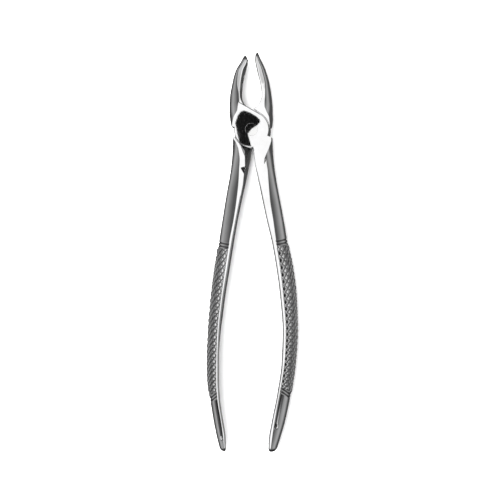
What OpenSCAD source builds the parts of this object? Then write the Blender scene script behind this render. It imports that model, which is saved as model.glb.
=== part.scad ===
// Extraction forceps, English pattern, straight, for upper front teeth.
// Two forged halves cross in a half-lap joint and turn on one flush screw.
// The forceps lies on its back: the pivot runs along +Z through the origin, the
// beaks point to +Y, and z = 0 is the joint's back face and the grips' back lands.

/* [Joint] */
// Thickness of the closed joint, both plates together
joint_t = 11; // [10.5:0.1:11.2]
// Radius of the round joint plates
lap_r = 7.7; // [7.4:0.1:8]
// Gap around a plate's rim
rim_gap = 0.15; // [0.1:0.05:0.3]
// Gap between the two sliding faces
face_gap = 0.06; // [0.04:0.02:0.12]
// Angle from the cross line up to a beak's shoulder
beak_shoulder = 9; // [6:1:12]
// Angle from the cross line down to a handle's shoulder
handle_shoulder = 22; // [20:1:24]
// Angle from the cross line at which a plate's straight crotch edge leaves its rim
crotch_angle = 60; // [56:1:64]
// How far the forceps closes from rest before the beak tips meet
close_turn = 5; // [0:0.5:5]

/* [Screw] */
// Radius of the flush head
head_r = 2.7; // [2.5:0.1:3.2]
// Depth of the head
head_h = 1.8; // [1.4:0.1:2.4]
// Radius of the shank
shank_r = 1.9; // [1.6:0.1:2.1]
// Running clearance around the shank and the head in the front half
fit_gap = 0.04; // [0.02:0.01:0.08]
// Width of the driver slot in the back end
slot_w = 0.6; // [0.5:0.1:0.9]
// Depth of the driver slot
slot_h = 0.8; // [0.5:0.1:1.2]

/* [Limbs] */
// Depth of the gouge in a beak's inner side
gouge = 1.0; // [0.6:0.1:1.3]
// Depth of the hollow in a handle's inner side
grip_hollow = 0.35; // [0.1:0.05:0.6]

/* [Hidden] */
$fn = 72;
mid_z = joint_t / 2;
big = 160;
ring_steps = 4;
side_points = 14;
side_sweep = 62;
hollow_points = 5;
hollow_ramp = 8;
hollow_share = 0.4;
beak_hollow_y = 12;
grip_hollow_y = 20;
land_left_over = 0.3;
crotch_edge = 10.9;
crotch_room = 3;
plate_side_y = 1;

// A limb is swept through flat rings at constant y. Each row is one station:
// [y, x of the side that faces the other limb, x of the outer side,
//  half the depth along z, width of the flat lands at front and back].
// Both halves are given as the front one, with the beak at -x and the handle at +x.
// A half depth over 5.5 is trimmed to a true flat at the joint's two faces.
FRONT_BEAK = [
    [33.0, -3.0, -3.7, 0.9, 0.1],
    [32.3, -2.5, -4.3, 1.9, 0.3],
    [30.5, -2.0, -5.0, 2.6, 0.4],
    [26.0, -3.0, -7.6, 3.1, 0.5],
    [20.5, -4.3, -9.0, 3.6, 0.5],
    [15.0, -4.9, -10.0, 4.3, 0.5],
    [11.0, -3.4, -10.2, 5.2, 2.2],
    [8.4, -0.4, -10.2, 5.6, 6.0],
    [5.0, 2.0, -9.9, 5.6, 9.4],
    [1.0, 2.0, -9.0, 5.6, 10.0],
    [-2.0, 2.0, -7.5, 5.6, 8.4]
];
BACK_BEAK = [
    [34.2, -1.9, -2.5, 0.9, 0.1],
    [33.4, -1.5, -3.0, 1.9, 0.3],
    [31.5, -1.2, -3.6, 2.6, 0.4],
    [26.5, -2.0, -5.8, 3.1, 0.5],
    [20.5, -3.5, -7.5, 3.6, 0.6],
    [15.0, -4.3, -8.4, 4.3, 1.0],
    [11.0, -3.1, -8.8, 5.2, 2.4],
    [8.4, -0.4, -8.9, 5.6, 6.0],
    [5.0, 2.0, -9.0, 5.6, 9.4],
    [1.0, 2.0, -8.5, 5.6, 9.6],
    [-2.0, 2.0, -7.5, 5.6, 8.4]
];
FRONT_HANDLE = [
    [1.0, -2.0, 8.2, 5.6, 9.4],
    [-5.0, -1.2, 8.8, 5.6, 9.4],
    [-9.0, 1.1, 9.0, 5.4, 6.6],
    [-14.0, 1.4, 9.4, 4.8, 4.6],
    [-27.0, 3.8, 11.4, 4.3, 3.5],
    [-38.0, 6.1, 13.5, 4.6, 2.9],
    [-50.0, 9.0, 15.9, 5.3, 1.8],
    [-60.0, 10.7, 18.0, 5.6, 1.8],
    [-72.0, 12.3, 19.6, 5.6, 1.8],
    [-88.0, 13.5, 20.2, 5.6, 1.8],
    [-102.0, 13.0, 19.3, 5.6, 1.8],
    [-116.0, 11.0, 17.0, 5.5, 1.6],
    [-128.0, 8.6, 14.2, 5.0, 1.2],
    [-136.0, 7.3, 11.8, 4.4, 0.8],
    [-140.0, 7.3, 10.3, 3.2, 0.5],
    [-141.2, 7.9, 9.5, 1.8, 0.3]
];
BACK_HANDLE = [
    [1.0, -2.0, 8.2, 5.6, 9.4],
    [-5.0, -1.2, 8.6, 5.6, 9.4],
    [-9.0, 1.1, 8.8, 5.4, 6.6],
    [-14.0, 1.6, 9.1, 4.8, 4.6],
    [-27.0, 4.0, 11.1, 4.3, 3.3],
    [-38.0, 6.2, 12.9, 4.6, 2.4],
    [-50.0, 8.3, 15.0, 5.3, 1.7],
    [-60.0, 10.0, 16.7, 5.6, 1.7],
    [-72.0, 11.9, 18.5, 5.6, 1.7],
    [-88.0, 13.8, 19.9, 5.6, 1.7],
    [-102.0, 14.3, 20.5, 5.6, 1.7],
    [-116.0, 14.0, 19.3, 5.5, 1.6],
    [-128.0, 12.4, 17.2, 5.0, 1.2],
    [-136.0, 11.4, 15.5, 4.4, 0.8],
    [-140.0, 11.5, 14.3, 3.2, 0.5],
    [-141.2, 12.0, 13.7, 1.8, 0.3]
];

// A smooth value between b and c, the middle two of four neighbouring stations
function between(a, b, c, d, t) =
    0.5 * (2 * b + (c - a) * t + (2 * a - 5 * b + 4 * c - d) * t * t
        + (3 * b - a - 3 * c + d) * t * t * t);

function station(list, i) = list[max(0, min(len(list) - 1, i))];

// The stations with the smooth ones between them
function refined(list) = [
    for (k = [0 : (len(list) - 1) * ring_steps])
        let (i = floor(k / ring_steps), t = k / ring_steps - i)
        between(station(list, i - 1), station(list, i), station(list, i + 1),
            station(list, i + 2), t)
];

// One closed ring: the round outer side between two flat lands, then the hollow
// inner side between them
function ring(s, hollow) =
    let (
        outward = sign(s[2] - s[1]),
        width = abs(s[2] - s[1]),
        land = min(s[4], width - land_left_over),
        deep = min(hollow, width * hollow_share)
    ) concat(
        [for (k = [0 : side_points])
            let (
                a = side_sweep * (1 - 2 * k / side_points),
                round_x = (cos(a) - cos(side_sweep)) / (1 - cos(side_sweep))
            ) [
                s[1] + outward * (land + (width - land) * round_x),
                s[0],
                mid_z + s[3] * sin(a) / sin(side_sweep)
            ]],
        [for (k = [0 : hollow_points])
            let (v = 2 * k / hollow_points - 1) [
                s[1] + outward * deep * (1 - v * v),
                s[0],
                mid_z + s[3] * v
            ]]
    );

// A closed solid through all the rings of a limb. The hollow begins at start_y.
module limb(list, hollow, start_y) {
    rings = [for (s = refined(list))
        ring(s, hollow * max(0, min(1, (abs(s[0]) - start_y) / hollow_ramp)))];
    n = len(rings[0]);
    last = len(rings) - 1;
    turned = list[0][2] > list[0][1];
    sides = [for (i = [0 : last - 1]) for (j = [0 : n - 1])
        let (a = i * n + j, b = i * n + (j + 1) % n)
        each [[a, b, b + n], [a, b + n, a + n]]];
    ends = [
        [for (j = [n - 1 : -1 : 0]) j],
        [for (j = [0 : n - 1]) last * n + j]
    ];
    faces = concat(sides, ends);
    polyhedron(
        points = [for (r = rings) each r],
        faces = turned ? faces : [for (f = faces) [for (k = [len(f) - 1 : -1 : 0]) f[k]]]
    );
}

// Everything above a line through the pivot that leans down to the right
module above_line(lean) {
    rotate([0, 0, -lean]) translate([-big, 0, -1]) cube([2 * big, big, joint_t + 2]);
}

module below_line(lean) {
    rotate([0, 0, -lean]) translate([-big, -big, -1]) cube([2 * big, big, joint_t + 2]);
}

// The outline of a joint plate: its round rim, and the straight crotch edge that
// leaves the rim and runs up to the plate's own beak
module plate_outline(r, edge, touch) {
    circle(r = r);
    polygon([
        [0, 0],
        r * [cos(touch), sin(touch)],
        r * [cos(touch), sin(touch)] + edge * [-sin(touch), cos(touch)],
        [-lap_r, plate_side_y]
    ]);
}

// Half of the joint's thickness that belongs to the other half's plate
module mating_space() {
    r = lap_r + rim_gap;
    translate([0, 0, -1]) linear_extrude(mid_z + face_gap / 2 + 1)
        mirror([1, 0, 0]) plate_outline(r, crotch_edge + crotch_room, crotch_angle - close_turn);
}

// One forging, drawn as the front half
module half(beak, handle) {
    difference() {
        intersection() {
            union() {
                intersection() {
                    limb(beak, gouge, beak_hollow_y);
                    above_line(beak_shoulder);
                }
                intersection() {
                    limb(handle, grip_hollow, grip_hollow_y);
                    below_line(handle_shoulder);
                }
                translate([0, 0, mid_z]) linear_extrude(mid_z)
                    plate_outline(lap_r, crotch_edge, crotch_angle);
            }
            translate([-big, -big, 0]) cube([2 * big, 2 * big, joint_t]);
        }
        mating_space();
    }
}

module front_half() {
    color("silver") difference() {
        half(FRONT_BEAK, FRONT_HANDLE);
        translate([0, 0, -1]) cylinder(r = shank_r + fit_gap, h = joint_t + 2);
        translate([0, 0, joint_t - head_h - face_gap])
            cylinder(r = head_r + fit_gap, h = head_h + 1);
    }
}

module back_half() {
    color("darkgray") difference() {
        translate([0, 0, joint_t]) rotate([0, 180, 0]) half(BACK_BEAK, BACK_HANDLE);
        translate([0, 0, -1]) cylinder(r = shank_r, h = joint_t + 2);
    }
}

module joint_screw() {
    color("gainsboro") difference() {
        union() {
            cylinder(r = shank_r, h = joint_t - head_h);
            translate([0, 0, joint_t - head_h]) cylinder(r = head_r, h = head_h);
        }
        translate([-head_r, -slot_w / 2, -1]) cube([2 * head_r, slot_w, slot_h + 1]);
    }
}

front_half();
back_half();
joint_screw();
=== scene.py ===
import math

import bmesh
import bpy
import numpy as np
from mathutils import Matrix, Vector

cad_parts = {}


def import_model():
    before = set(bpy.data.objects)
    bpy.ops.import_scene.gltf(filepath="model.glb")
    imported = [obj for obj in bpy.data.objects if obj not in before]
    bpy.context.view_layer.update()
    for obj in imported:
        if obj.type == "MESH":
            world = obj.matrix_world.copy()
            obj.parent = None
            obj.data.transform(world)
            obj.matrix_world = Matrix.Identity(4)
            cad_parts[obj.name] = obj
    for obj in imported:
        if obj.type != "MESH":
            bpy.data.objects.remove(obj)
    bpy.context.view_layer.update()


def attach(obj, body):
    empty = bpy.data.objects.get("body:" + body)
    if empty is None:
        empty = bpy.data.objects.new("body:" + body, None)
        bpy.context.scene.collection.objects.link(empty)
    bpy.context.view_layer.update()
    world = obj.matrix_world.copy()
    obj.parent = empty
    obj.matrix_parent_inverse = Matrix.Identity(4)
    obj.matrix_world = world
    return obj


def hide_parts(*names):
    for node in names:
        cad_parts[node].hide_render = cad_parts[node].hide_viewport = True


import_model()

# The pieces are drawn in millimetres, and finish_mesh() turns them into metres. All
# angles among these numbers are in degrees, unless math.radians() is around them.
MM = 0.001
TINY = 1e-9

# ---------------------------------------------------------------- joint
JOINT_T = 11.0
MID_Z = JOINT_T / 2
LAP_R = 7.7
RIM_GAP = 0.12
FACE_GAP = 0.05
# Angles from the cross line: up to a beak's shoulder, down to a handle's shoulder, and
# to the point at which the straight crotch edge leaves the plate's rim. Then follows
# that edge's length.
BEAK_SHOULDER = 9.0
HANDLE_SHOULDER = 22.0
CROTCH_ANGLE = 60.0
CROTCH_EDGE = 10.9
# Room for the other half's crotch edge: its spare length and how far it may close
CROTCH_ROOM = 3
CLOSE_TURN = 5.0
# Where the rim's outline ends, its steps, and the chamfer around the plate's face
RIM_END = -190
RIM_STEPS = 120
CHAMFER_W = 0.3
CHAMFER_H = 0.1
# A plate is drawn a little past the joint's face and is trimmed level with it
PLATE_OVER = 0.3
PLATE_TAPER = 0.01

# The screw: its head and shank, the gap around them, its chamfers and driver slot
HEAD_R = 2.7
HEAD_H = 1.8
SHANK_R = 1.9
FIT_GAP = 0.015
HEAD_CHAMFER = 0.03
SHANK_CHAMFER = 0.15
SLOT_W = 0.6
SLOT_H = 0.8
# The rise of a step in a turned outline, and the sides of a full circle
STEP_RISE = 0.001
CIRCLE_STEPS = 128

# How far cutting solids reach past what they cut: a bore, a half plane, and the slabs
PAST = 1
OVER = 3
FAR = 170
SIDE = 60

# ---------------------------------------------------------------- grips
# The two crossing sets of grooves repeat along and around the grip
REPEAT_TOP = 3.3
REPEAT_LOW = 2.4
REPEAT_ROUND = 2.3
# How far from the land they start, how sharp they are, how much painted shade their bottoms
# and the border grooves get, and how deep they are
GROOVES_FROM = 0.3
GROOVE_POWER = 0.85
GROOVE_PAINTED_SHADE = 0.85
CUT_DEPTH = 0.6
# One more groove runs beside the land, and the pits lie along it
LAND_GROOVE = 0.75
LAND_GROOVE_AT = 0.35
LAND_GROOVE_HALF_W = 0.4
PIT_AT = 0.35
PIT_HALF_W = 0.85
PIT_POWER = 1.5
# How far the uncut grip stands out, and the lengths over which it rises at its ends
# and beside the land
GRIP_PROUD = 0.42
GRIP_RISE = 0.6
LAND_RISE = 0.18
# The border grooves beyond each end of the grip: how many, where, and their size
BORDERS = 2
BORDER_AT = 0.75
BORDER_DEPTH = 0.36
BORDER_HALF_W = 0.46
BORDER_PITCH = 1.35
# How far the lower border runs down from the land to the middle of the outer side
LOWER_CHEVRON = 2.8
CHEVRON_POWER = 0.8
# What is further than this above the grip's top or below the flute's end stays uncut
UNCUT_ABOVE = 6
UNCUT_BELOW = 3
# The shallow flute between the grip's lower border and the handle's end, and the
# small notch at its end: its place around the flute, depth, and half length and width
FLUTE_START = 3.2
FLUTE_RISE = 0.8
FLUTE_DEPTH = 0.32
# How much painted shade the flute gets
FLUTE_PAINTED_SHADE = 1.2
NOTCH_AT = 0.3
NOTCH_DEPTH = 0.65
NOTCH_HALF = (1.4, 1.1)

# ---------------------------------------------------------------- limbs
# Both halves are given in the front half's place: beak at -x, handle at +x.
# Beak stations: y, inner x, outer x, half depth, then for the plate's side and for
# the lap's side: land width, inner chamfer width and its drop
FRONT_BEAK = [
    (33.0, -3.0, -3.5, 3.0, 0.10, 0.20, 0.5, 0.10, 0.20, 0.5),
    (32.3, -2.5, -4.0, 3.0, 0.20, 0.40, 1.0, 0.20, 0.40, 1.0),
    (30.5, -2.0, -5.0, 3.0, 1.20, 0.30, 0.8, 0.70, 0.80, 1.7),
    (26.0, -3.0, -7.6, 3.1, 1.75, 1.05, 2.1, 1.30, 0.90, 1.9),
    (20.5, -4.3, -9.0, 3.6, 1.30, 0.70, 1.5, 0.40, 0.80, 1.8),
    (15.0, -4.9, -9.95, 4.4, 0.10, 0.25, 0.5, 0.90, 0.30, 1.0),
    (11.0, -3.4, -10.2, 5.2, 2.00, 0.20, 0.3, 2.60, 0.15, 0.3),
    (8.4, -0.4, -10.2, 5.6, 5.60, 0.05, 0.1, 6.00, 0.05, 0.1),
    (5.0, 2.0, -9.9, 5.6, 9.80, 0.05, 0.1, 9.80, 0.05, 0.1),
    (1.0, 2.0, -9.0, 5.6, 10.4, 0.05, 0.1, 10.4, 0.05, 0.1),
    (-2.0, 2.0, -7.5, 5.6, 8.80, 0.05, 0.1, 8.80, 0.05, 0.1),
]
BACK_BEAK = [
    (34.2, -1.9, -2.4, 3.0, 0.10, 0.20, 0.5, 0.10, 0.20, 0.5),
    (33.4, -1.5, -2.8, 3.0, 0.20, 0.40, 1.0, 0.20, 0.30, 1.0),
    (31.5, -1.2, -3.6, 3.0, 0.60, 0.60, 1.6, 0.70, 0.40, 1.2),
    (26.5, -2.0, -5.8, 3.1, 1.20, 0.90, 1.9, 1.60, 0.45, 1.5),
    (20.5, -3.5, -7.5, 3.6, 0.25, 0.80, 1.6, 1.70, 0.30, 1.2),
    (15.0, -4.3, -8.4, 4.4, 0.35, 0.70, 1.4, 1.25, 0.15, 0.6),
    (11.0, -3.1, -8.8, 5.2, 2.00, 0.20, 0.3, 2.50, 0.10, 0.3),
    (8.4, -0.4, -8.9, 5.6, 5.40, 0.05, 0.1, 5.70, 0.05, 0.1),
    (5.0, 2.0, -9.0, 5.6, 9.60, 0.05, 0.1, 9.60, 0.05, 0.1),
    (1.0, 2.0, -8.5, 5.6, 9.90, 0.05, 0.1, 9.90, 0.05, 0.1),
    (-2.0, 2.0, -7.5, 5.6, 8.80, 0.05, 0.1, 8.80, 0.05, 0.1),
]

# Handles are given as curves over y: the half depth, the two sides' x, and the x at
# which each flat land ends and the round outer side begins. Then follow the y of the
# grip's and the flute's ends, how far around the outer side the flute lies and its
# half width at both ends, whether the plate's side faces up in the end, and how deep
# the outward grooves, the inward grooves and the pits are, which also sets their painted
# shade
HANDLE_DEPTH = [
    (1, 5.6), (-3.5, 5.6), (-9, 5.45), (-14, 4.9), (-20, 4.4), (-27, 4.3), (-38, 4.6),
    (-50, 5.2), (-60, 5.45), (-102, 5.5), (-116, 5.3), (-128, 4.8), (-136, 4.4),
    (-141.2, 3.8),
]
FRONT_HANDLE = {
    "inner": [
        (1, -2), (-3.5, -1.6), (-9, 1.1), (-14, 1.4), (-20, 2.4), (-27, 3.8),
        (-38, 6.1), (-50, 8.95), (-60, 10.7), (-72, 12.3), (-88, 13.5), (-102, 13.0),
        (-116, 11.0), (-128, 8.6), (-136, 7.3), (-141.2, 7.1)],
    "outer": [
        (1, 8.2), (-3.5, 8.8), (-9, 9.0), (-14, 9.4), (-20, 10.2), (-27, 11.4),
        (-38, 13.5), (-50, 15.6), (-60, 17.6), (-72, 19.1), (-88, 19.7), (-102, 18.8),
        (-116, 16.8), (-128, 14.3), (-134, 12.6), (-141.2, 10.4)],
    "plate_land": [
        (1, 8.1), (-3.6, 8.8), (-8, 7.7), (-11.4, 6.5), (-13.7, 6.5),
        (-17.6, 7.0), (-21.8, 7.3), (-30.6, 8.0), (-39.4, 9.4), (-48.2, 10.7),
        (-61.4, 12.8), (-74.6, 14.2), (-87.8, 15.1), (-101, 14.5), (-110, 13.3),
        (-123, 10.8), (-132, 9.3), (-141.2, 8.1)],
    "lap_land": [
        (1, 8.0), (-3.9, 7.9), (-5.1, 7.0), (-6.4, 6.4), (-8.6, 5.75), (-13, 5.2),
        (-17.4, 5.5), (-21.8, 5.8), (-30.6, 6.8), (-39.4, 8.2), (-50, 10.3),
        (-61.4, 12.3), (-74.6, 13.9), (-87.8, 14.8), (-102, 14.2), (-116, 12.1),
        (-128, 9.9), (-141.2, 8.1)],
    "grip_top": -50.6,
    "grip_low": -112.3,
    "flute_end": -131.0,
    "flute_at": 1.0,
    "flute_w": (1.5, 0.8),
    "faces_front": True,
    "groove_weight": (0.7, 1.0, 1.6),
}
BACK_HANDLE = {
    "inner": [
        (1, -2), (-3.5, -1.6), (-9, 0.9), (-13.4, 1.5), (-17.9, 2.3), (-22, 3.05),
        (-30.6, 4.75), (-39.4, 6.45), (-50, 8.35), (-61.4, 10.2), (-74.6, 12.3),
        (-88, 13.8), (-101, 14.3), (-110, 14.3), (-118.6, 13.8), (-127.4, 12.5),
        (-134, 11.5), (-141.2, 11.2)],
    "outer": [
        (1, 8.2), (-3.5, 8.6), (-9, 8.8), (-14, 9.2), (-20, 10.0), (-27, 11.3),
        (-38, 13.1), (-50, 15.0), (-60, 16.6), (-72, 18.2), (-88, 19.5), (-102, 20.0),
        (-110, 19.8), (-118.6, 18.7), (-128, 17.2), (-134, 16.0), (-141.2, 14.2)],
    "plate_land": [
        (1, 8.0), (-3.6, 8.5), (-8, 7.8), (-10.8, 6.4), (-13, 5.6), (-17.4, 6.4),
        (-21.8, 6.9), (-30.6, 7.5), (-39.4, 8.4), (-50, 10.1), (-61.4, 12.0),
        (-74.6, 13.9), (-88, 15.1), (-101, 15.7), (-110, 15.7), (-118.6, 15.1),
        (-128, 13.6), (-141.2, 12.0)],
    "lap_land": [
        (1, 8.0), (-3.9, 7.9), (-5.1, 7.0), (-6.4, 6.4), (-8.6, 5.75), (-13, 5.2),
        (-17.4, 5.5), (-21.8, 5.7), (-30.6, 6.6), (-39.4, 7.9), (-48.2, 9.6),
        (-61.4, 11.6), (-74.6, 13.5), (-87.8, 14.9), (-101, 15.4), (-110, 15.5),
        (-118.6, 14.9), (-127.4, 13.5), (-134, 12.6), (-141.2, 12.0)],
    "grip_top": -51.9,
    "grip_low": -114.7,
    "flute_end": -136.4,
    "flute_at": 0.4,
    "flute_w": (1.9, 1.1),
    "faces_front": False,
    "groove_weight": (1.0, 0.6, 0.65),
}
# The throat on the lap's side, where the other plate turns: y, x of the land's inner
# edge, x of the knee below it, the drop at the knee and at the inner edge
THROAT = [
    (0.0, 5.1, 4.9, 0.15, 5.0),
    (-6.4, 5.06, 4.9, 0.15, 5.0),
    (-9.0, 4.0, 3.0, 0.8, 5.0),
    (-11.7, 2.95, 2.8, 0.1, 4.8),
    (-16.2, 2.86, 2.75, 0.1, 4.6),
    (-16.6, 4.9, 3.0, 3.0, 4.6),
    (-19.4, 3.3, 2.9, 0.7, 4.2),
    (-24.0, 3.85, 3.65, 0.15, 1.2),
    (-29.0, 4.85, 4.6, 0.2, 0.5),
]
# The small cut at the throat: its outline, the z of its floor and of its full size,
# its share of that size at the floor, and how far it reaches past the joint's face
NICK = [(6.6, -10.8), (5.6, -12.9), (5.4, -15.6), (6.45, -13.6)]
NICK_FLOOR = 9.3
NICK_TOP = 10.5
NICK_SHARE = 0.05
NICK_OVER = 0.1

# A limb's section: the sweep of its round outer side, the power of a beak's leaner
# one, and the power and steps of its hollow inner wall
ARC_SWEEP = math.radians(62)
BEAK_POWER = 1.7
WALL_POWER = 1.35
WALL_STEPS = 8
# Rounds at the section's corners: their size, the part of a side they may take, their
# points, and how much smaller the one is where the land meets the outer side
SOFT = 0.14
SOFT_SHARE = 0.45
SOFT_POINTS = 4
OUTER_SOFT = 0.6
# Least room left beyond a land's inner edge, least land, and least outer side, and
# the points across a land as shares of its width
LAND_ROOM = 0.4
LAND_MIN = 0.1
OUTER_MIN = 0.2
LAND_STEPS = (0.3, 0.6, 0.8)
# The most of the land, of the depth and of the edge's drop that a knee, an edge's
# drop and a knee's drop may take
KNEE_MOST = 0.97
EDGE_MOST = 0.92
DROP_MOST = 0.9
# Shares in a ring's third column: on a land, and on the round beside the outer side
ON_LAND = -1.0
ON_CORNER = -0.5

# How steeply a beak's land falls outward, and the y between which the fall sets in
FRONT_CROWN = (0.115, 12, 15)
BACK_CROWN = (0.20, 17, 21)
# A beak's hollow, the most of its width it may take, the y between which it and the
# leaner outer side set in, the knee as shares of the chamfer, and the outer side's steps
BEAK_GOUGE = 1.0
GOUGE_SHARE = 0.3
GOUGE_RAMP = (11, 19)
BELLY_RAMP = (9, 15)
BEAK_KNEE = (0.5, 0.45)
BEAK_ARC = 24
# The tip: its finely divided length and rings, the rings below it, the length over
# which it narrows and the share of depth that is left
TIP_LENGTH = 5
TIP_RINGS = 21
BEAK_RINGS = 76
TIP_ROUND = 3.4
TIP_SQUEEZE = 0.12

# A handle's inner edge: the width and drop of its round at the joint and on the grip,
# the distances below the pivot between which it grows, and where its knee lies
JOINT_EDGE_W = 0.08
JOINT_EDGE_DROP = 0.1
EDGE_W = 0.6
EDGE_DROP = 0.6
EDGE_RAMP = (9, 28)
HANDLE_KNEE = (0.45, 0.4)
# A handle's hollow, and the distances below the pivot between which it sets in
HANDLE_HOLLOW = 0.6
HOLLOW_RAMP = (9, 20)
# How far a handle's back edge stands in: (distance below the pivot, inset)
BACK_DRAFT = [(20, 0.0), (38, 0.4), (82, 0.4), (100, 1.2)]
HANDLE_ARC = 46
HANDLE_TOP_Y = 1.0
HANDLE_END_Y = -141.2
# The rounded end: its length, its rings, how nearly it closes, and the shares of
# depth and width that are left
END_ROUND = 2.0
END_RINGS = 14
END_REACH = 0.999
END_SQUEEZE = 0.2
END_THIN = 0.12
# Ring spacing above, on and below the grip, and how far past the grip it stays fine
NECK_STEP = 0.45
GRIP_STEP = 0.21
END_STEP = 0.3
FINE_ABOVE = 5
FINE_BELOW = 7

# Meshes: points closer than WELD are joined and slivers under SLIVER go. Edges over
# a limit, in degrees, stay sharp: at the joint, at the handles' necks and elsewhere.
WELD = 0.002
SLIVER = 0.0005
SHARP_JOINT = 10
SHARP_NECK = 35
SHARP_ELSEWHERE = 80
JOINT_REACH = 12
NECK_REACH = 45


def curve(points, y):
    """A smooth curve through (y, value) points with y falling, without overshoot."""
    ys = np.array([p[0] for p in points], float)
    vs = np.array([p[1] for p in points], float)
    slopes = np.diff(vs) / np.diff(ys)
    tangent = np.zeros(len(points))
    tangent[0], tangent[-1] = slopes[0], slopes[-1]
    for i in range(1, len(points) - 1):
        if slopes[i - 1] * slopes[i] > 0:
            tangent[i] = 2 * slopes[i - 1] * slopes[i] / (slopes[i - 1] + slopes[i])
    y = min(max(y, ys[-1]), ys[0])
    i = min(int(np.searchsorted(-ys, -y, side="right")) - 1, len(points) - 2)
    h = ys[i + 1] - ys[i]
    t = (y - ys[i]) / h
    return (
        (1 + 2 * t) * (1 - t) ** 2 * vs[i] + t * (1 - t) ** 2 * h * tangent[i]
        + t * t * (3 - 2 * t) * vs[i + 1] + t * t * (t - 1) * h * tangent[i + 1]
    )


def beak_row(stations, y):
    columns = range(1, len(stations[0]))
    return [curve([(s[0], s[c]) for s in stations], y) for c in columns]


def corner(before, at, after, r):
    """Points of a small round at a corner, as a quadratic curve."""
    before, at, after = (np.array(p, float) for p in (before, at, after))
    lead, trail = before - at, after - at
    r_in = min(r, SOFT_SHARE * np.linalg.norm(lead))
    r_out = min(r, SOFT_SHARE * np.linalg.norm(trail))
    p = at + lead / max(np.linalg.norm(lead), TINY) * r_in
    q = at + trail / max(np.linalg.norm(trail), TINY) * r_out
    return [(1 - t) ** 2 * p + 2 * t * (1 - t) * at + t * t * q
            for t in np.linspace(0, 1, SOFT_POINTS)]


def face_of_ring(width, depth, land_in, land_out, knee, edge_drop, hollow, n_arc,
                 belly=0.0, crown=0.0, inset=0.0):
    """From the middle of the inner side to the middle of the outer side, through one
    face of the limb, as ((distance from the inner side, height), share of the outer
    arc). knee is (distance, drop). belly turns the outer arc into a leaner curve,
    crown lets the land fall outward and inset moves its inner edge in."""
    land_in = min(land_in, width - LAND_ROOM)
    land_out = min(max(land_out, land_in + LAND_MIN), width - OUTER_MIN)
    knee_at = inset + min(knee[0], (land_in - inset) * KNEE_MOST)
    edge_drop = min(edge_drop, depth * EDGE_MOST)
    knee_drop = min(knee[1], edge_drop * DROP_MOST)
    edge = (inset, depth - edge_drop)
    bend = (knee_at, depth - knee_drop)
    top = depth - crown * (land_out - land_in)
    start, end = (land_in, depth), (land_out, top)
    flat = 1 - math.cos(ARC_SWEEP)
    arc = []
    for k in range(n_arc + 1):
        a = ARC_SWEEP * (1 - k / n_arc)
        round_u = (math.cos(a) - math.cos(ARC_SWEEP)) / flat
        round_v = math.sin(a) / math.sin(ARC_SWEEP)
        b = math.pi / 2 * (1 - k / n_arc)
        lean_u = math.cos(b) ** (2 / BEAK_POWER)
        lean_v = math.sin(b) ** (2 / BEAK_POWER)
        u = round_u + (lean_u - round_u) * belly
        v = round_v + (lean_v - round_v) * belly
        arc.append((land_out + (width - land_out) * u, top * v))
    wall = []
    for k in range(WALL_STEPS):
        v = (k / WALL_STEPS) ** WALL_POWER
        wall.append((hollow * (1 - v) + inset * v, edge[1] * k / WALL_STEPS))
    points = [(p, ON_LAND) for p in wall]
    turns = (wall[-1], edge, bend, start, end)
    for before, at, after in zip(turns, turns[1:], turns[2:]):
        points += [(p, ON_LAND) for p in corner(before, at, after, SOFT)]
    for v in LAND_STEPS:
        on_land = (land_in + (land_out - land_in) * v, depth + (top - depth) * v)
        points.append((on_land, ON_LAND))
    points += [(p, ON_CORNER) for p in corner(start, end, arc[1], SOFT * OUTER_SOFT)]
    points += [(p, k / n_arc) for k, p in enumerate(arc) if k > 0]
    return points


def ring(x_in, x_out, plate_face, lap_face, squeeze=1.0, thin=1.0):
    """One closed ring at constant y: rows of x, z from the mid plane, and the outer
    arc's share, 0 at the plate's land, 1 in the middle and 2 at the lap's land."""
    outward = 1 if x_out > x_in else -1
    middle = abs(x_out - x_in) / 2
    points = [(u, z, share) for (u, z), share in plate_face]
    points += [(u, -z, 2 - share if share >= 0 else share)
               for (u, z), share in reversed(lap_face[1:-1])]
    return np.array([
        (x_in + outward * (middle + (u - middle) * thin), z * squeeze, share)
        for u, z, share in points])


def closed_mesh(name, verts, n):
    """A closed mesh through rings of n points, with a flat cap at each end."""
    last = len(verts) // n - 1
    faces = []
    for i in range(last):
        for j in range(n):
            k = (j + 1) % n
            faces.append((i * n + j, i * n + k, (i + 1) * n + k, (i + 1) * n + j))
    faces.append(tuple(range(n - 1, -1, -1)))
    faces.append(tuple(last * n + j for j in range(n)))
    mesh = bpy.data.meshes.new(name)
    mesh.from_pydata(verts, [], faces)
    return mesh


def tube(name, rings, ys):
    """A closed limb through the rings, which keeps the painted shade of its cut points."""
    verts = [(p[0], y, MID_Z + p[1]) for r, y in zip(rings, ys) for p in r]
    mesh = closed_mesh(name, verts, len(rings[0]))
    # The "cut" attribute holds the painted shade of the grooves, pits, border grooves,
    # flute and notch
    cut = mesh.attributes.new("cut", "FLOAT", "POINT")
    cut.data.foreach_set("value", [p[3] if len(p) > 3 else 0.0 for r in rings for p in r])
    face_outward(mesh)
    return new_object(name, mesh)


def face_outward(mesh):
    bm = bmesh.new()
    bm.from_mesh(mesh)
    bmesh.ops.recalc_face_normals(bm, faces=bm.faces)
    if bm.calc_volume(signed=True) < 0:
        bmesh.ops.reverse_faces(bm, faces=bm.faces)
    bm.to_mesh(mesh)
    bm.free()


def new_object(name, mesh):
    ob = bpy.data.objects.new(name, mesh)
    bpy.context.scene.collection.objects.link(ob)
    return ob


def prism(name, layers):
    """A closed solid through outlines of equal length: each layer is (z, outline)."""
    verts = [(x, y, z) for z, outline in layers for x, y in outline]
    mesh = closed_mesh(name, verts, len(layers[0][1]))
    face_outward(mesh)
    return new_object(name, mesh)


def circle(r):
    turns = [2 * math.pi * k / CIRCLE_STEPS for k in range(CIRCLE_STEPS)]
    return [(r * math.cos(a), r * math.sin(a)) for a in turns]


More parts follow.
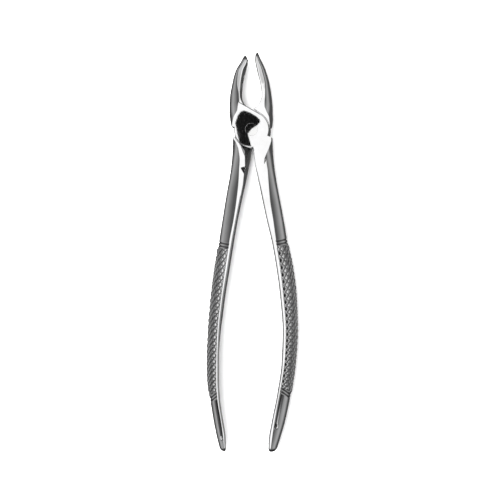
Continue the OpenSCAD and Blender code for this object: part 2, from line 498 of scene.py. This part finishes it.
def lathe(name, profile):
    """A turned solid: the profile is rows of (radius, z)."""
    return prism(name, [(z, circle(r)) for r, z in profile])


def slab(name, low, high):
    (x0, y0, z0), (x1, y1, z1) = low, high
    outline = [(x0, y0), (x1, y0), (x1, y1), (x0, y1)]
    return prism(name, [(z0, outline), (z1, outline)])


def boolean(target, tool, how):
    mod = target.modifiers.new("cut", "BOOLEAN")
    mod.operation = how
    mod.solver = "MANIFOLD"
    mod.object = tool
    bpy.context.view_layer.update()
    deps = bpy.context.evaluated_depsgraph_get()
    mesh = bpy.data.meshes.new_from_object(target.evaluated_get(deps))
    target.modifiers.clear()
    old = target.data
    target.data = mesh
    bpy.data.meshes.remove(old)
    bpy.data.objects.remove(tool)
    return target


def plate_outline(grow, touch, edge):
    """The plate's round rim from the crotch edge's touching point round to the far
    side, and the straight crotch edge up to its own beak. grow moves it outward."""
    r = LAP_R + grow
    start, end = math.radians(touch), math.radians(RIM_END)
    turns = [start + (end - start) * k / RIM_STEPS for k in range(RIM_STEPS + 1)]
    rim = [(r * math.cos(a), r * math.sin(a)) for a in turns]
    tip = (rim[0][0] - edge * math.sin(start), rim[0][1] + edge * math.cos(start))
    return [tip] + rim


def mating_space():
    """The other half's plate and its crotch edge, with room to turn and close."""
    def mirrored(grow):
        outline = plate_outline(
            RIM_GAP + grow, CROTCH_ANGLE - CLOSE_TURN, CROTCH_EDGE + CROTCH_ROOM)
        return [(-x, y) for x, y in outline]
    return prism("mating", [
        (-PAST, mirrored(PAST + CHAMFER_W)),
        (CHAMFER_W, mirrored(0.0)),
        (MID_Z + FACE_GAP / 2, mirrored(0.0)),
    ])


def half_plane(lean, above):
    """Everything above or below a line through the pivot that leans down to +x."""
    low, high = (0, FAR) if above else (-FAR, 0)
    ob = slab("half_plane", (-FAR, low, -OVER), (FAR, high, JOINT_T + OVER))
    ob.data.transform(Matrix.Rotation(math.radians(-lean), 4, "Z"))
    return ob


def build_half(name, beak, handle):
    """One forging from its two limbs and its plate, drawn as the front half."""
    body = boolean(beak, half_plane(BEAK_SHOULDER, True), "INTERSECT")
    grip = boolean(handle, half_plane(HANDLE_SHOULDER, False), "INTERSECT")
    plate = prism("plate", [
        (z, plate_outline(grow, CROTCH_ANGLE, CROTCH_EDGE)) for z, grow in (
            (MID_Z + FACE_GAP / 2, 0), (JOINT_T - CHAMFER_H, 0), (JOINT_T, -CHAMFER_W),
            (JOINT_T + PLATE_OVER, -CHAMFER_W - PLATE_TAPER))])
    boolean(body, grip, "UNION")
    boolean(body, plate, "UNION")
    boolean(body, slab("slab", (-SIDE, -FAR, 0), (SIDE, SIDE, JOINT_T)), "INTERSECT")
    boolean(body, mating_space(), "DIFFERENCE")
    body.name = name
    body.data.name = name
    return body


def smooth(low, high, value):
    """Rises smoothly from 0 at low to 1 at high."""
    t = min(max((value - low) / (high - low), 0.0), 1.0)
    return t * t * (3 - 2 * t)


def beak_limb(name, stations, crown):
    fall, fall_from, fall_to = crown
    tip_y, end_y = stations[0][0], stations[-1][0]
    ys = list(np.linspace(tip_y, tip_y - TIP_LENGTH, TIP_RINGS))
    ys += list(np.linspace(tip_y - TIP_LENGTH, end_y, BEAK_RINGS)[1:])
    rings = []
    for y in ys:
        x_in, x_out, depth, *faces = beak_row(stations, y)
        width = abs(x_out - x_in)
        to_tip = min(1.0, (tip_y - y) / TIP_ROUND)
        squeeze = TIP_SQUEEZE + (1 - TIP_SQUEEZE) * math.sqrt(1 - (1 - to_tip) ** 2)
        hollow = min(smooth(*GOUGE_RAMP, y) * BEAK_GOUGE, width * GOUGE_SHARE)
        belly = smooth(*BELLY_RAMP, y)
        sides = []
        for land, chamfer_w, chamfer_d in (faces[:3], faces[3:]):
            knee = (chamfer_w * BEAK_KNEE[0], chamfer_d * BEAK_KNEE[1])
            sides.append(face_of_ring(
                width, depth, chamfer_w, chamfer_w + land, knee, chamfer_d, hollow,
                BEAK_ARC, belly, fall * smooth(fall_from, fall_to, y)))
        rings.append(ring(x_in, x_out, *sides, squeeze=squeeze))
    return tube(name, rings, ys)


def handle_ys(shape):
    """The rings' places along y, close together where the grip is cut."""
    top, low = shape["grip_top"] + FINE_ABOVE, shape["grip_low"] - FINE_BELOW
    ys = list(np.arange(HANDLE_TOP_Y, top, -NECK_STEP))
    ys += list(np.arange(top, low, -GRIP_STEP))
    ys += list(np.arange(low, HANDLE_END_Y + END_ROUND, -END_STEP))
    for k in range(END_RINGS + 1):
        reach = END_REACH * math.sin(math.pi / 2 * k / END_RINGS)
        ys.append(HANDLE_END_Y + END_ROUND * (1 - reach))
    return ys


def handle_limb(name, shape):
    ys = handle_ys(shape)
    throat_y = [-row[0] for row in THROAT]
    path = np.array([
        [(curve(shape["inner"], y) + curve(shape["outer"], y)) / 2, y] for y in ys])
    steps = np.linalg.norm(np.diff(path, axis=0), axis=1)
    run = np.concatenate([[0], np.cumsum(steps)])
    tangent = np.gradient(path, axis=0)
    tangent /= np.linalg.norm(tangent, axis=1)[:, None]
    marks = {k: float(np.interp(-shape[k], [-y for y in ys], run))
             for k in ("grip_top", "grip_low", "flute_end")}
    rings = []
    for y, s, mid_x, lean in zip(ys, run, path[:, 0], tangent[:, 0]):
        x_in, x_out = curve(shape["inner"], y), curve(shape["outer"], y)
        width, depth = x_out - x_in, curve(HANDLE_DEPTH, y)
        hollow = HANDLE_HOLLOW * smooth(*HOLLOW_RAMP, -y)
        draft = float(np.interp(-y, *zip(*BACK_DRAFT)))
        plate_inset, lap_inset = (0.0, draft) if shape["faces_front"] else (draft, 0.0)
        grown = smooth(*EDGE_RAMP, -y)
        edge_w = JOINT_EDGE_W + (EDGE_W - JOINT_EDGE_W) * grown
        edge_drop = JOINT_EDGE_DROP + (EDGE_DROP - JOINT_EDGE_DROP) * grown
        plate_face = face_of_ring(
            width, depth, edge_w + plate_inset, curve(shape["plate_land"], y) - x_in,
            (edge_w * HANDLE_KNEE[0], edge_drop * HANDLE_KNEE[1]), edge_drop, hollow,
            HANDLE_ARC, inset=plate_inset)
        if -y < throat_y[-1]:
            land_in, knee, knee_drop, drop = (
                float(np.interp(-y, throat_y, [row[c] for row in THROAT]))
                for c in range(1, 5))
            land_in, knee = land_in - x_in, knee - x_in
        else:
            land_in, drop = EDGE_W, EDGE_DROP
            knee, knee_drop = EDGE_W * HANDLE_KNEE[0], EDGE_DROP * HANDLE_KNEE[1]
        lap_face = face_of_ring(
            width, depth, land_in + lap_inset, curve(shape["lap_land"], y) - x_in,
            (knee, knee_drop), drop, hollow, HANDLE_ARC, inset=lap_inset)
        to_end = min(1.0, (y - HANDLE_END_Y) / END_ROUND)
        tip = math.sqrt(1 - (1 - to_end) ** 2)
        points = ring(
            x_in, x_out, plate_face, lap_face, END_SQUEEZE + (1 - END_SQUEEZE) * tip,
            END_THIN + (1 - END_THIN) * tip)
        lengthwise = s + (points[:, 0] - mid_x) * lean
        rings.append(cut_grip(points, lengthwise, marks, shape))
    return tube(name, rings, ys)


def groove(x, half_w):
    """A rounded V: 1 in its middle and 0 from half_w outward."""
    v = np.clip(1 - np.abs(x) / half_w, 0, 1)
    return v * v * (3 - 2 * v)


def chequer(s, u, top, low, weight):
    """Depth, from 0 to 1, of the two crossing sets of grooves at s along the grip and
    u around it, and of the pits where they cross beside the land. The repeat shrinks
    from the grip's top to its lower border, and weight says how deep the grooves that
    lean outward and inward are, and the pits."""
    span = low - top
    repeat = REPEAT_TOP + (REPEAT_LOW - REPEAT_TOP) * np.clip((s - top) / span, 0, 1)
    turns = span / (REPEAT_LOW - REPEAT_TOP) * np.log(repeat / REPEAT_TOP)
    outward = 1 - np.abs(np.sin(math.pi * (turns - u / REPEAT_ROUND))) ** GROOVE_POWER
    inward = 1 - np.abs(np.sin(math.pi * (turns + u / REPEAT_ROUND))) ** GROOVE_POWER
    pit = (0.5 + 0.5 * np.cos(2 * math.pi * turns)) ** PIT_POWER
    pit = pit * groove(u - PIT_AT, PIT_HALF_W)
    return np.maximum(weight[0] * outward, weight[1] * inward), weight[2] * pit


def cut_grip(points, s, marks, shape):
    """Raises the grip's outer side, and cuts its chequering, borders and end flute. s is
    each point's place along the handle. The ring comes back with one more column: how
    much painted shade each point gets, from 0 to 1."""
    top, low, flute_at = marks["grip_top"], marks["grip_low"], shape["flute_at"]
    if s.max() < top - UNCUT_ABOVE or s.min() > marks["flute_end"] + UNCUT_BELOW:
        return np.column_stack([points, np.zeros(len(points))])
    flat = points[:, :2]
    run = np.roll(flat, -1, 0) - np.roll(flat, 1, 0)
    normal = np.stack([run[:, 1], -run[:, 0]], 1)
    normal /= np.maximum(np.linalg.norm(run, axis=1), TINY)[:, None]
    if ((flat - flat.mean(0)) * normal).sum() < 0:
        normal = -normal
    share = points[:, 2]
    on_arc = share > ON_LAND
    fold = np.where(share > 1, 2 - share, share)
    gap = np.linalg.norm(np.diff(flat, axis=0, append=flat[:1]), axis=1)
    around = np.concatenate([[0], np.cumsum(gap)[:-1]])
    first, last = np.flatnonzero(on_arc)[[0, -1]]
    u = np.minimum(around - around[first], around[last] - around)
    edge = np.clip(u / LAND_RISE, 0, 1)
    bent = s - LOWER_CHEVRON * np.clip(fold, 0, 1) ** CHEVRON_POWER
    inside = np.clip((s - top) / GRIP_RISE, 0, 1) * np.clip((low - bent) / GRIP_RISE, 0, 1)
    grooves, pits = chequer(s, u - GROOVES_FROM, top, low, shape["groove_weight"])
    beside = LAND_GROOVE * groove(u - LAND_GROOVE_AT, LAND_GROOVE_HALF_W)
    grooves = inside * np.maximum(grooves, beside)
    pits = inside * pits
    border = sum(
        groove(top - s - BORDER_AT - k * BORDER_PITCH, BORDER_HALF_W)
        + groove(bent - low - BORDER_AT - k * BORDER_PITCH, BORDER_HALF_W)
        for k in range(BORDERS))
    d = inside * GRIP_PROUD - np.maximum(grooves, pits) * CUT_DEPTH - border * BORDER_DEPTH
    start, end = low + FLUTE_START, marks["flute_end"]
    length = np.clip((s - start) / FLUTE_RISE, 0, 1) * np.clip((end - s) / FLUTE_RISE, 0, 1)
    half_w = np.interp(s, (start, end), shape["flute_w"])
    fade = np.clip(1 - (u - flute_at) / half_w, 0, 1)
    flute = length * fade * np.clip(u / flute_at, 0, 1)
    notch = groove(s - end + NOTCH_HALF[0], NOTCH_HALF[0])
    notch *= groove(u - flute_at - NOTCH_AT, NOTCH_HALF[1])
    d -= FLUTE_DEPTH * flute + NOTCH_DEPTH * notch
    # Painted shade: the grooves, pits, border grooves, flute and notch get a darker base
    # colour, by their depth
    painted_shade = np.maximum.reduce([
        GROOVE_PAINTED_SHADE * grooves, np.clip(pits, 0, 1), GROOVE_PAINTED_SHADE * border,
        np.clip(FLUTE_PAINTED_SHADE * flute, 0, 1), notch])
    out = np.column_stack([points, np.where(on_arc, painted_shade * edge, 0)])
    out[:, :2] += normal * np.where(on_arc, d * edge, 0)[:, None]
    return out


def shank_bore():
    return lathe("bore", [(SHANK_R, -PAST), (SHANK_R, JOINT_T + PAST)])


def head_bore():
    """The stepped bore that the screw turns in, open at the rim by its chamfer."""
    step_z = JOINT_T - HEAD_H - FACE_GAP
    return lathe("bore", [
        (SHANK_R + FIT_GAP, -PAST), (SHANK_R + FIT_GAP, step_z),
        (HEAD_R + FIT_GAP, step_z + STEP_RISE), (HEAD_R + FIT_GAP, JOINT_T - HEAD_CHAMFER),
        (HEAD_R + FIT_GAP + PAST + HEAD_CHAMFER, JOINT_T + PAST),
    ])


def joint_screw():
    body = lathe("pivot_screw", [
        (SHANK_R - SHANK_CHAMFER, 0), (SHANK_R, SHANK_CHAMFER), (SHANK_R, JOINT_T - HEAD_H),
        (HEAD_R, JOINT_T - HEAD_H + STEP_RISE), (HEAD_R, JOINT_T - HEAD_CHAMFER),
        (HEAD_R - HEAD_CHAMFER, JOINT_T),
    ])
    slot = slab("slot", (-HEAD_R, -SLOT_W / 2, -PAST), (HEAD_R, SLOT_W / 2, SLOT_H))
    return boolean(body, slot, "DIFFERENCE")


def nick():
    """The small V-shaped cut where the joint's thick part runs out into the handle."""
    middle = np.mean(NICK, axis=0)
    layers = []
    for z in (NICK_FLOOR, JOINT_T + NICK_OVER):
        share = NICK_SHARE + (1 - NICK_SHARE) * (z - NICK_FLOOR) / (NICK_TOP - NICK_FLOOR)
        layers.append((z, [tuple(middle + (np.array(p) - middle) * share) for p in NICK]))
    return prism("nick", layers)


def front_half():
    ob = build_half(
        "front_half_forging",
        beak_limb("front_beak", FRONT_BEAK, FRONT_CROWN),
        handle_limb("front_handle", FRONT_HANDLE),
    )
    boolean(ob, nick(), "DIFFERENCE")
    return boolean(ob, head_bore(), "DIFFERENCE")


def back_half():
    ob = build_half(
        "back_half_forging",
        beak_limb("back_beak", BACK_BEAK, BACK_CROWN),
        handle_limb("back_handle", BACK_HANDLE),
    )
    flip = Matrix.Translation((0, 0, JOINT_T)) @ Matrix.Rotation(math.pi, 4, "Y")
    ob.data.transform(flip)
    return boolean(ob, shank_bore(), "DIFFERENCE")


def finish_mesh(ob):
    """Cleans the mesh, shades it smooth with its true edges sharp, and scales it."""
    bm = bmesh.new()
    bm.from_mesh(ob.data)
    bmesh.ops.remove_doubles(bm, verts=bm.verts, dist=WELD)
    bmesh.ops.dissolve_degenerate(bm, edges=bm.edges, dist=SLIVER)
    for face in bm.faces:
        face.smooth = True
    for edge in bm.edges:
        if len(edge.link_faces) != 2:
            edge.smooth = False
            continue
        y = edge.verts[0].co.y
        limit = SHARP_ELSEWHERE
        if -JOINT_REACH < y < JOINT_REACH:
            limit = SHARP_JOINT
        elif -NECK_REACH < y < 0:
            limit = SHARP_NECK
        edge.smooth = edge.calc_face_angle(0.0) < math.radians(limit)
    bm.to_mesh(ob.data)
    bm.free()
    ob.data.transform(Matrix.Scale(MM, 4))
    ob.data.update()


# ---------------------------------------------------------------- materials
# From here on sizes are in metres, unless they are multiplied by MM.
# Noises as (scale, detail, stretch along x, y and z)
HAZE = (140, 3, (1, 1, 1))
SCRATCH = (2600, 2, (1, 0.05, 1))
WAVES = (260, 1, (1, 0.35, 1))
# Part of the cut depth over which the painted shade sets in, and how much rougher the metal
# gets
DARKEN = (0.15, 1.0)
CUT_ROUGH = 0.22
# The stained tint as shares of the clean one, and the painted groove shade's blue as a
# share of its grey
STAIN = (0.9, 0.9, 0.885)
PAINTED_SHADE_BLUE = 0.98
# Roughness of the polish and of its scratches as shares, and the scratches' limits
POLISH = (0.7, 1.5)
MARKS = 0.5
MARKS_SEEN = (0.55, 0.75)
# Heights of the polishing waves and of the scratches
WAVE_HEIGHT = 0.000012
SCRATCH_HEIGHT = 0.0000006


def math_node(nodes, links, how, *values):
    node = nodes.new("ShaderNodeMath")
    node.operation = how
    for socket, value in zip(node.inputs, values):
        if isinstance(value, (int, float)):
            socket.default_value = value
        else:
            links.new(value, socket)
    return node.outputs["Value"]


def noise(nodes, links, place_at, scale, detail, stretch):
    """A noise texture in the piece's own place, drawn out along the instrument."""
    mapping = nodes.new("ShaderNodeMapping")
    mapping.inputs["Scale"].default_value = stretch
    links.new(place_at, mapping.inputs["Vector"])
    node = nodes.new("ShaderNodeTexNoise")
    node.inputs["Scale"].default_value = scale
    node.inputs["Detail"].default_value = detail
    links.new(mapping.outputs["Vector"], node.inputs["Vector"])
    return node.outputs["Fac"]


def spread(nodes, links, value, low, high, start=0.3, end=0.7):
    """Maps the useful part of a noise or a depth, start to end, to low and high."""
    node = nodes.new("ShaderNodeMapRange")
    for name, number in (("From Min", start), ("From Max", end), ("To Min", low),
                         ("To Max", high)):
        node.inputs[name].default_value = number
    links.new(value, node.inputs["Value"])
    return node.outputs["Result"]


def steel(name, tint, rough, painted_shade_grey):
    """Polished steel: hand-polishing waves, fine lengthwise scratches, faint stains, and
    painted shade with duller metal at the bottom of the cut grooves."""
    mat = bpy.data.materials.new(name)
    mat.use_nodes = True
    nodes, links = mat.node_tree.nodes, mat.node_tree.links
    shader = nodes["Principled BSDF"]
    shader.inputs["Metallic"].default_value = 1.0
    place_at = nodes.new("ShaderNodeTexCoord").outputs["Object"]
    haze = noise(nodes, links, place_at, *HAZE)
    scratch = noise(nodes, links, place_at, *SCRATCH)
    waves = noise(nodes, links, place_at, *WAVES)
    cut = nodes.new("ShaderNodeAttribute")
    cut.attribute_name = "cut"
    deep = spread(nodes, links, cut.outputs["Fac"], 0, 1, *DARKEN)

    clean = nodes.new("ShaderNodeMix")
    clean.data_type = "RGBA"
    clean.inputs["A"].default_value = (*(t * share for t, share in zip(tint, STAIN)), 1)
    clean.inputs["B"].default_value = (*tint, 1)
    links.new(spread(nodes, links, haze, 0, 1), clean.inputs["Factor"])
    # Painted shade: the base colour turns to a near-black grey at the bottom of the cut
    # grooves, pits, borders and flute, by the cut attribute
    painted_groove_shade = nodes.new("ShaderNodeMix")
    painted_groove_shade.data_type = "RGBA"
    painted_groove_shade.inputs["B"].default_value = (painted_shade_grey, painted_shade_grey, painted_shade_grey * PAINTED_SHADE_BLUE, 1)
    links.new(clean.outputs["Result"], painted_groove_shade.inputs["A"])
    links.new(deep, painted_groove_shade.inputs["Factor"])
    links.new(painted_groove_shade.outputs["Result"], shader.inputs["Base Color"])

    polish = spread(nodes, links, haze, rough * POLISH[0], rough * POLISH[1])
    marks = spread(nodes, links, scratch, 0, rough * MARKS, *MARKS_SEEN)
    dull = math_node(nodes, links, "MULTIPLY", deep, CUT_ROUGH)
    total = math_node(nodes, links, "ADD", polish, marks)
    total = math_node(nodes, links, "ADD", total, dull)
    links.new(total, shader.inputs["Roughness"])

    ripple, fine = nodes.new("ShaderNodeBump"), nodes.new("ShaderNodeBump")
    for bump, relief, height in (
            (ripple, waves, WAVE_HEIGHT), (fine, scratch, SCRATCH_HEIGHT)):
        bump.inputs["Strength"].default_value = 1.0
        bump.inputs["Distance"].default_value = height
        links.new(relief, bump.inputs["Height"])
    links.new(ripple.outputs["Normal"], fine.inputs["Normal"])
    links.new(fine.outputs["Normal"], shader.inputs["Normal"])
    return mat


# ---------------------------------------------------------------- stage
# How bright the reflected studio and the backdrop are
STUDIO_GAIN = 1.3
BACKDROP = 1.5
# The floor's half size, grey and roughness, and the grey of the dark card
FLOOR_R = 3.0
FLOOR_GREY = 0.92
FLOOR_ROUGH = 0.9
CARD_GREY = 0.004
# The camera: its lens and sensor, the point it looks at in millimetres, the width of
# the picture at that point, and its tilt in degrees
LENS = 100
SENSOR = 36
AIM = (-1.1, -52.6, 5.5)
FRAME_WIDTH = 0.220
TILT = 5


def ramp(nodes, stops):
    """A colour ramp of greys through (position, grey) stops."""
    node = nodes.new("ShaderNodeValToRGB")
    elements = node.color_ramp.elements
    while len(elements) < len(stops):
        elements.new(0.5)
    for element, (at, grey) in zip(elements, stops):
        element.position = at
        element.color = (grey, grey, grey, 1)
    return node


# Grey levels of the studio, by the angle across the instrument: 0 straight up, 1 down
ACROSS = [
    (0.0, 1.0), (0.08, 1.0), (0.12, 0.32), (0.16, 0.105), (0.25, 0.085), (0.37, 0.24),
    (0.50, 0.38), (0.58, 0.26), (0.66, 0.07), (1.0, 0.065),
]
# How much of that is left, by the direction's share along the instrument
ALONG = [(0.0, 1.0), (0.50, 1.0), (0.72, 0.32), (0.92, 0.2)]


def world():
    """A plain white backdrop, and the graded studio that only reflections see."""
    w = bpy.data.worlds.new("studio")
    bpy.context.scene.world = w
    w.use_nodes = True
    nodes, links = w.node_tree.nodes, w.node_tree.links
    nodes.clear()
    out = nodes.new("ShaderNodeOutputWorld")
    place_node = nodes.new("ShaderNodeTexCoord")
    split = nodes.new("ShaderNodeSeparateXYZ")
    links.new(place_node.outputs["Generated"], split.inputs["Vector"])
    side = math_node(nodes, links, "ABSOLUTE", split.outputs["X"])
    turn = math_node(nodes, links, "ARCTAN2", side, split.outputs["Z"])
    across = ramp(nodes, ACROSS)
    links.new(math_node(nodes, links, "DIVIDE", turn, math.pi), across.inputs["Fac"])
    lengthwise = ramp(nodes, ALONG)
    along = math_node(nodes, links, "ABSOLUTE", split.outputs["Y"])
    links.new(along, lengthwise.inputs["Fac"])
    both = math_node(nodes, links, "MULTIPLY", across.outputs["Color"],
                     lengthwise.outputs["Color"])
    bright = math_node(nodes, links, "MULTIPLY", both, STUDIO_GAIN)
    reflected = nodes.new("ShaderNodeBackground")
    links.new(bright, reflected.inputs["Color"])
    backdrop = nodes.new("ShaderNodeBackground")
    backdrop.inputs["Color"].default_value = (1, 1, 1, 1)
    backdrop.inputs["Strength"].default_value = BACKDROP
    path = nodes.new("ShaderNodeLightPath")
    mix = nodes.new("ShaderNodeMixShader")
    links.new(path.outputs["Is Glossy Ray"], mix.inputs["Fac"])
    links.new(backdrop.outputs["Background"], mix.inputs[1])
    links.new(reflected.outputs["Background"], mix.inputs[2])
    links.new(mix.outputs["Shader"], out.inputs["Surface"])


def floor():
    mesh = bpy.data.meshes.new("floor")
    mesh.from_pydata(
        [(-FLOOR_R, -FLOOR_R, 0), (FLOOR_R, -FLOOR_R, 0), (FLOOR_R, FLOOR_R, 0),
         (-FLOOR_R, FLOOR_R, 0)], [], [(0, 1, 2, 3)])
    ob = new_object("floor", mesh)
    mat = bpy.data.materials.new("pale_floor")
    mat.use_nodes = True
    shader = mat.node_tree.nodes["Principled BSDF"]
    shader.inputs["Base Color"].default_value = (FLOOR_GREY, FLOOR_GREY, FLOOR_GREY, 1)
    shader.inputs["Roughness"].default_value = FLOOR_ROUGH
    mesh.materials.append(mat)
    ob.visible_glossy = False


# The dark shape above the joint that its flat front mirrors: (x, y) on the front
BLOT = [
    (-4.6, 7.8), (-3.2, 8.3), (-0.4, 7.3), (2.6, 5.3), (3.6, 4.2), (3.7, 3.1),
    (2.7, 1.9), (0.2, 0.3), (-1.6, -1.9), (0.4, -9.0), (-5.2, -6.6), (-6.4, -0.3),
    (-7.1, 2.8), (-6.0, 6.2),
]
BLOT_HEIGHT = 0.03


def dark_card(eye):
    """A black card that only reflections see, so that its image lies on the joint."""
    lift = BLOT_HEIGHT / (eye.z - JOINT_T * MM)
    flat = [Vector((x, y)) * MM for x, y in BLOT]
    corners = [p + (p - eye.xy) * lift for p in flat]
    mesh = bpy.data.meshes.new("dark_card")
    mesh.from_pydata([(*p, JOINT_T * MM + BLOT_HEIGHT) for p in corners], [],
                     [tuple(range(len(corners)))])
    ob = new_object("dark_card", mesh)
    mat = bpy.data.materials.new("dark_card")
    mat.use_nodes = True
    shader = mat.node_tree.nodes["Principled BSDF"]
    shader.inputs["Base Color"].default_value = (CARD_GREY, CARD_GREY, CARD_GREY, 1)
    shader.inputs["Specular IOR Level"].default_value = 0.0
    shader.inputs["Roughness"].default_value = 1.0
    mesh.materials.append(mat)
    ob.visible_camera = False
    ob.visible_diffuse = False
    ob.visible_shadow = False


def lamp(name, at, aim, size, watts):
    data = bpy.data.lights.new(name, "AREA")
    data.shape = "DISK"
    data.size = size
    data.energy = watts
    ob = bpy.data.objects.new(name, data)
    bpy.context.scene.collection.objects.link(ob)
    ob.location = at
    ob.rotation_euler = (Vector(aim) - Vector(at)).to_track_quat("-Z", "Y").to_euler()
    ob.visible_glossy = False


def camera():
    """A long lens above the instrument, tilted a little towards +X."""
    data = bpy.data.cameras.new("camera")
    data.lens = LENS
    data.sensor_width = SENSOR
    ob = bpy.data.objects.new("camera", data)
    bpy.context.scene.collection.objects.link(ob)
    bpy.context.scene.camera = ob
    aim = Vector(AIM) * MM
    distance = FRAME_WIDTH * data.lens / data.sensor_width
    tilt = math.radians(TILT)
    back = Vector((math.sin(tilt), 0, math.cos(tilt)))
    ob.location = aim + back * distance
    side = Vector((math.cos(tilt), 0, -math.sin(tilt)))
    up = back.cross(side)
    ob.rotation_euler = Matrix((side, up, back)).transposed().to_euler()
    return ob


eye = camera()
world()
floor()
dark_card(eye.location)
lamp("key_light", at=(-0.35, 0.1, 0.9), aim=(0, -0.05, 0), size=0.9, watts=22)

# The last grey is the painted shade at the bottom of the cut grooves
bright = steel("polished_steel", tint=(0.80, 0.80, 0.81), rough=0.045, painted_shade_grey=0.04)
screw_steel = steel("screw_steel", tint=(0.78, 0.78, 0.785), rough=0.05, painted_shade_grey=0.12)

pieces = [
    (front_half(), "front", "front_half", "polished_steel", bright),
    (back_half(), "back", "back_half", "polished_steel", bright),
    (joint_screw(), "back", "joint_screw", "screw_steel", screw_steel),
]
for piece, body, node, slot_name, mat in pieces:
    finish_mesh(piece)
    piece.data.materials.clear()
    piece.data.materials.append(mat)
    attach(piece, body)
    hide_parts(node)

bpy.context.scene.view_settings.view_transform = "Standard"
